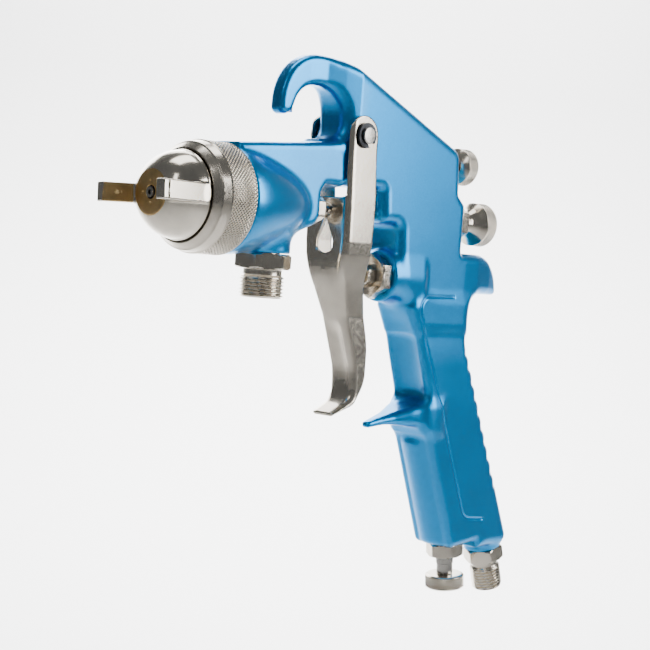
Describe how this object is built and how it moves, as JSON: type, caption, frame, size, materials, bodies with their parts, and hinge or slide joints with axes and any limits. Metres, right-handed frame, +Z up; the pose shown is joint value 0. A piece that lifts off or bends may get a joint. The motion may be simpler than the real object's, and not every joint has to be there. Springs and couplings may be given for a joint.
{
  "type": "spray gun",
  "caption": "Pressure-feed paint spray gun with a hanging hook, two-horn air cap, pulled trigger and screw-in controls for fluid, fan width and air flow.",
  "frame": {"origin": "inner saddle of the hanging hook, on the gun's mid plane", "axes": "+Z up, -X towards the spray (the gun points along -X), +Y to the gun's left-hand side seen from behind"},
  "size_m": [0.2271, 0.0412, 0.2182],
  "materials": {
    "blue_lacquer": "glossy metallic blue lacquer on a cast body",
    "nickel_plate": "bright nickel plate",
    "brass": "machined",
    "stainless_steel": "turned",
    "black_steel": "black oxide",
    "spring_steel": "drawn wire",
    "ptfe": "matt",
    "rubber": "matt"
  },
  "bodies": {
    "frame": {"gun_body": "blue_lacquer", "fluid_nozzle": "stainless_steel", "air_baffle": "brass", "head_gasket": "ptfe", "needle_packing": "ptfe", "packing_nut": "nickel_plate", "fluid_bush": "nickel_plate", "fan_bush": "nickel_plate", "fan_packing": "ptfe", "trigger_pin": "stainless_steel", "pin_clip_near": "black_steel", "pin_clip_far": "black_steel", "air_valve_housing": "nickel_plate", "air_valve_gland": "nickel_plate", "air_valve_packing": "ptfe", "fluid_inlet": "nickel_plate", "air_inlet": "nickel_plate", "flow_bush": "nickel_plate", "flow_packing": "ptfe", "needle_spring": "spring_steel", "air_valve_spring": "spring_steel"},
    "ring": {"retaining_ring": "nickel_plate"},
    "cap": {"air_cap": "nickel_plate"},
    "trigger": {"trigger": "nickel_plate"},
    "needle": {"needle": "stainless_steel", "needle_collar": "stainless_steel"},
    "air_valve": {"air_valve_stem": "stainless_steel", "air_valve_seal": "rubber"},
    "fluid_knob": {"fluid_screw": "stainless_steel", "fluid_knob": "nickel_plate"},
    "fan_knob": {"fan_stem": "stainless_steel", "fan_knob": "nickel_plate"},
    "flow_knob": {"flow_stem": "stainless_steel", "flow_knob": "nickel_plate"}
  },
  "joints": [
    {"name": "trigger_pull", "type": "hinge", "parent": "frame", "child": "trigger", "pos_m": [0.0204, 0, -0.0169], "axis": [0, -1, 0], "range_deg": [0, 9.5], "stiffness_Nm_per_rad": 6, "springref_deg": -6.88},
    {"name": "needle_slide", "type": "slide", "parent": "frame", "child": "needle", "axis": [1, 0, 0], "range_m": [0, 0.0056], "deforming": ["needle_spring"]},
    {"name": "air_valve_slide", "type": "slide", "parent": "frame", "child": "air_valve", "axis": [1, 0, 0], "range_m": [0, 0.0092], "deforming": ["air_valve_spring"]},
    {"name": "ring_turn", "type": "hinge", "parent": "frame", "child": "ring", "pos_m": [-0.052, 0, -0.0464], "axis": [1, 0, 0], "range_deg": [0, 360]},
    {"name": "cap_turn", "type": "hinge", "parent": "frame", "child": "cap", "pos_m": [-0.062, 0, -0.0464], "axis": [1, 0, 0], "range_deg": [-90, 90]},
    {"name": "fluid_knob_turn", "type": "hinge", "parent": "frame", "child": "fluid_knob", "pos_m": [0.104, 0, -0.0464], "axis": [1, 0, 0], "range_deg": [-180, 1440]},
    {"name": "fan_knob_turn", "type": "hinge", "parent": "frame", "child": "fan_knob", "pos_m": [0.093, 0, -0.0229], "axis": [1, 0, 0], "range_deg": [-360, 1080]},
    {"name": "flow_knob_turn", "type": "hinge", "parent": "frame", "child": "flow_knob", "pos_m": [0.10487, 0, -0.19957], "axis": [0.1219, 0, -0.9925], "range_deg": [-180, 1440]}
  ],
  "couplings": [
    {"joint": "needle_slide", "follows": "trigger_pull", "m_per_rad": 0.033},
    {"joint": "air_valve_slide", "follows": "trigger_pull", "m_per_rad": 0.054}
  ]
}
